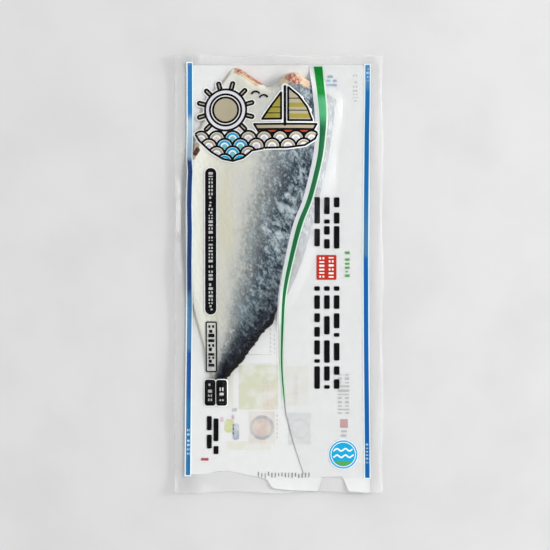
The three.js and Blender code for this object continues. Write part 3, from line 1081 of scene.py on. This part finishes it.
def printPicture():
    look, part = pictureLook, pictureShapes()
    filled = ["sun", "ring", "rays", "deck", "hull", "sail", "jib"]
    halo = grown(joined(*[part[k] for k in filled + ["mast", "sea", "marks"]]), look["halo"])
    outlined = [rimOf(part[k], look["line"]) for k in filled]
    lines = joined(*outlined, *[part[k] for k in ("mast", "gulls", "seaLines", "marks")])
    fills = {"sun": "tan", "ring": "lilac", "rays": "tan", "hull": "brick", "deck": "tan", "swell": "sky",
             "drops": "teal", "foam": "tan", "pebbles": "cloth", "sail": "tan", "stripes": "olive",
             "jib": "olive"}
    inkPatch("pictureHalo", halo, look["area"], coarse, whiteInk, "ink_white", "ground")
    for key, ink in fills.items():
        shape = common(part[key], outside(part["stripes"])) if key == "sail" else part[key]
        name = "picture" + key.capitalize()
        inkPatch(name, shape, look["area"], fine, inkOf(name + "Ink", ink), "ink_colours", "colour")
    inkPatch("pictureLines", lines, look["area"], fine, blackInk, "ink_black", "line")


printPicture()
print("picture printed")


badgeLook = {"at": (44.5, -123.6), "radius": 9.7, "halo": 0.6, "ring": (8.4, 0.5), "waves": (-1.2, 3.2),
             "wave": 1.0, "swell": (0.8, 1.1), "ground": (-8, 3.6)}


def printBadge():
    look = badgeLook
    (cx, cy), (ringAt, ringWidth), (swell, turns), (groundY, groundHalf) = [
        look[key] for key in ("at", "ring", "swell", "ground")]
    area = (cx - 12, cy - 12, cx + 12, cy + 12)
    face = disc(cx, cy, look["radius"])
    ground = common(disc(cx, cy, ringAt - 0.8), slab(cx, cy + groundY, 12, groundHalf))
    across = np.linspace(-7, 7, 29)
    waves = [stroke(list(zip(cx + across, cy + low + swell * np.sin(across * turns))), look["wave"])
             for low in look["waves"]]
    lines = joined(common(joined(*waves), disc(cx, cy, ringAt - 1.2)), rimOf(disc(cx, cy, ringAt), ringWidth))
    skyInk = inkOf("badgeInk", "sky")
    printAll([
        ("badgeHalo", grown(face, look["halo"]), area, coarse, whiteInk, "ink_white", "ground"),
        ("badgeFace", common(face, outside(ground)), area, fine, skyInk, "ink_blue", "colour"),
        ("badgeGround", ground, area, fine, leafInk, "ink_green", "colour"),
        ("badgeWaves", lines, area, fine, whiteInk, "ink_white", "line"),
    ])


printBadge()
smallMarks = [  # name, x, half its width, top, bottom, seed, ink
    ("leafMarks", 47.3, 1.6, 15.4, -5.0, 41, leafInk),
    ("blueMarks", 36.5, 3.6, 136.0, 125.5, 42, inkOf("blueMarkInk", "paleBlue", 0.8)),
    ("faintMarks", 52.6, 1.6, 136.5, 118.0, 43, inkOf("faintMarkInk", "ghostLine", 0.4)),
    ("stripeMarksLeft", -61.6, 0.9, -106.0, -126.0, 46, inkOf("stripeMarkInk", "palest", 0.6)),
    ("stripeMarksTop", 61.1, 0.9, 141.0, 128.5, 48, inkOf("stripeMarkInkTop", "palest", 0.6)),
    ("stripeMarksRight", 60.75, 0.9, -116.0, -131.0, 47, inkOf("stripeMarkInkRight", "palest", 0.5)),
    ("ghostColumn", 44.7, 4.0, -68.5, -97.5, 44, ghostInk),
    ("ghostColumnLow", 44.7, 4.0, -107.0, -113.0, 45, ghostInk),
]
for name, x, half, top, bottom, seed, ink in smallMarks:
    area = (x - half - 1, bottom - 1, x + half + 1, top + 1)
    level = "line" if name.startswith("stripe") else "colour"
    inkPatch(name, barRow(x, half, top, bottom, seed, (0.8, 1.9), 1.3), area, fine, ink, "ink_colours", level)
rose, roseBox = slab(45.0, -102.4, 2.7, 3.0, 0.4), (41, -107, 49, -98)
inkPatch("roseSquare", rose, roseBox, coarse, inkOf("roseSquareInk", "rose", 0.7), "ink_colours", "colour")
print("badge and marks printed")


# the back film's white, the pale fields that show through it, and its outer side
def backPatch(name, shape, box, ink, level, cloud=None):
    finish = inkOf(name + "Ink", ink, cloud=inks[cloud] if cloud else None)
    inkPatch(name, shape, box, hiddenPitch if level == "under" else coarse, finish, "back_film", level)


inkPatch("backPrint", printField, wholeBox, 1.5, inkOf("backInk", "backWhite"), "back_film", "white")
wordRows = [(-10, -74, 6), (-7.4, -74, 6), (-5.4, -38, 6), (-2.6, -42, 5), (12.2, -70, 7), (-31, -97, 5),
            (-0.8, -97, 6)]  # x, top, and how many dashes
backFields = [  # name, ink, level, and flat slabs as x, y, half width, half length, corner
    ("ghostYellow", "ghostYellow", "ghost", [(-13.6, -77.6, 13.5, 15.3, 0.6)]),
    ("ghostPale", "ghostPale", "ghost", [(-20, -117.5, 15, 3, 0.4), (12.5, -76.5, 8.5, 13.5, 0.6)]),
    ("ghostPink", "ghostPink", "ghostTop", [(-6.4, -84.5, 4.4, 8.5, 0.4)]),
    ("ghostFrames", "ghostBlush", "ghostTop", [(-11.2, -105.2, 8.9, 11.2, 0.5)]),
    ("ghostFrameRight", "ghost", "ghostTop", [(14.6, -106, 7.9, 11, 0.5)]),
    ("ghostBlob", "ghostLime", "ghost", [(-33.6, -104.0, 3.4, 4.6, 2.6)]),
    ("ghostBerry", "ghostRose", "ghostTop", [(-38.5, -99.5, 1.2, 1.9, 1.1), (-31.0, -98.0, 1.0, 1.4, 0.8)]),
    ("ghostSlate", "ghostSlate", "ghostMark", [(-29, -108, 2.2, 5.6, 1.6), (-30, -93, 1.8, 1.2, 0.8)]),
    ("ghostLines", "ghostLine", "ghostTop", [(-12.0, -55.2, 7.8, 0.28, 0.1), (-13.0, -61.7, 9.3, 0.25, 0.1)]),
    ("ghostWords", "ghostLine", "ghostMark",
     [(x, top - 3 * j, 0.5, 0.9, 0.2) for x, top, count in wordRows for j in range(count)]),
    ("ghostBars", "ghostPale", "ghostTop", [(-33.0, -79, 2.2, 13, 0.4)]),
    ("ghostPatch", "ghostPink", "ghostTop", [(11.5, -77, 2.0, 6, 0.4)]),
    ("underBlue", "blue", "under", [(0, 139, 60, 3.2, 0.5), (0, -130, 60, 3.2, 0.5)]),
    ("underYellow", "underYellow", "under", [(20, -60, 24, 34, 1.5)]),
    ("underSlate", "underSlate", "under", [(-24, 60 - 9 * k, 26 - (k % 3) * 4, 2.2, 0.6) for k in range(9)]),
    ("underGreen", "leaf", "under", [(32, 62, 16, 22, 3)]),
]
for name, ink, level, slabs in backFields:
    area = (min(x - w for x, _, w, _, _ in slabs) - 1, min(y - h for _, y, _, h, _ in slabs) - 1,
            max(x + w for x, _, w, _, _ in slabs) + 1, max(y + h for _, y, _, h, _ in slabs) + 1)
    cloud = "backWhite" if name.startswith("ghost") else None
    backPatch(name, joined(*[slab(*values) for values in slabs]), area, ink, level, cloud)
bowls = [  # name, x, y, radius, width of the rim, ink
    ("ghostBowl", -11.2, -105.2, 7.2, 2.4, "ghostSteel"),
    ("ghostDish", 14.6, -106, 6.4, 1.4, "ghostLine"),
]
for name, x, y, radius, width, ink in bowls:
    around = (x - 9, y - 9, x + 9, y + 9)
    backPatch(name, rimOf(disc(x, y, radius), width), around, ink, "ghostMark", "ghostBlush")
filling = disc(-11.2, -105.2, 5.8)
backPatch("ghostFilling", filling, (-18, -112, -4, -98), "ghostSalmon", "ghostMark", "ghostCream")
print("back printed")


floorLook = {"size": 3.0, "below": 0.00003, "pale": (0.64, 0.64, 0.64), "cloud": (0.60, 0.60, 0.605),
             "cloudSize": 60}


def buildFloor():
    half = floorLook["size"] / 2
    mesh = bpy.data.meshes.new("floor")
    corners = [(-half, -half, 0), (half, -half, 0), (half, half, 0), (-half, half, 0)]
    mesh.from_pydata(corners, [], [(0, 1, 2, 3)])
    floor = bpy.data.objects.new("floor", mesh)
    bpy.context.scene.collection.objects.link(floor)
    stone = newFinish("paleFloor")
    clouds = stone.ramped(stone.noise(floorLook["cloudSize"], 4), 0.35, 0.75)
    colour = stone.blended(clouds, floorLook["pale"], floorLook["cloud"])
    mesh.materials.append(stone.done(stone.surface(Base_Color=colour, Roughness=0.6)))
    floor.location.z = -floorLook["below"]


buildFloor()

camera = {"height": 1.5, "across": 0.37675, "aimX": -0.00226, "aimY": -0.0007, "sensor": 36}


def buildCamera():
    lens = bpy.data.cameras.new("camera")
    lens.sensor_width = camera["sensor"]
    lens.lens = camera["sensor"] * camera["height"] / camera["across"]
    seer = bpy.data.objects.new("camera", lens)
    seer.location = (camera["aimX"], camera["aimY"], camera["height"])
    bpy.context.scene.collection.objects.link(seer)
    bpy.context.scene.camera = seer


buildCamera()

lights = {
    "window": {"at": (2.40, 0.55, 1.73), "size": (0.95, 1.05), "power": 67},
    "lowWindow": {"at": (3.40, 0.50, 0.72), "size": (1.8, 0.9), "power": 36},
}


def buildLights():
    for name, look in lights.items():
        lamp = bpy.data.lights.new(name, "AREA")
        lamp.shape = "RECTANGLE"
        lamp.size, lamp.size_y = look["size"]
        lamp.energy = look["power"]
        holder = bpy.data.objects.new(name, lamp)
        holder.location = look["at"]
        holder.rotation_mode = "QUATERNION"
        holder.rotation_quaternion = (-holder.location).to_track_quat("-Z", "Y")
        bpy.context.scene.collection.objects.link(holder)


buildLights()

# dark only right above, where flat film mirrors it
world = {"high": 0.10, "low": 0.985, "from": 0.74, "to": 0.95}


def buildWorld():
    sky = Finish(bpy.data.worlds.new("studio"))
    height = sky.node("SeparateXYZ", inputs={0: sky.node("TexCoord", output="Generated")}, output="Z")
    share = sky.ramped(height, world["from"], world["to"])
    colour = sky.coloured(share, (0.0, (world["low"],) * 3), (1.0, (world["high"],) * 3))
    bpy.context.scene.world = sky.done(sky.node("Background", inputs={"Color": colour}), "OutputWorld")


buildWorld()
scene = bpy.context.scene
scene.view_settings.view_transform = "Standard"
scene.cycles.transparent_max_bounces = 32
print("stage set")
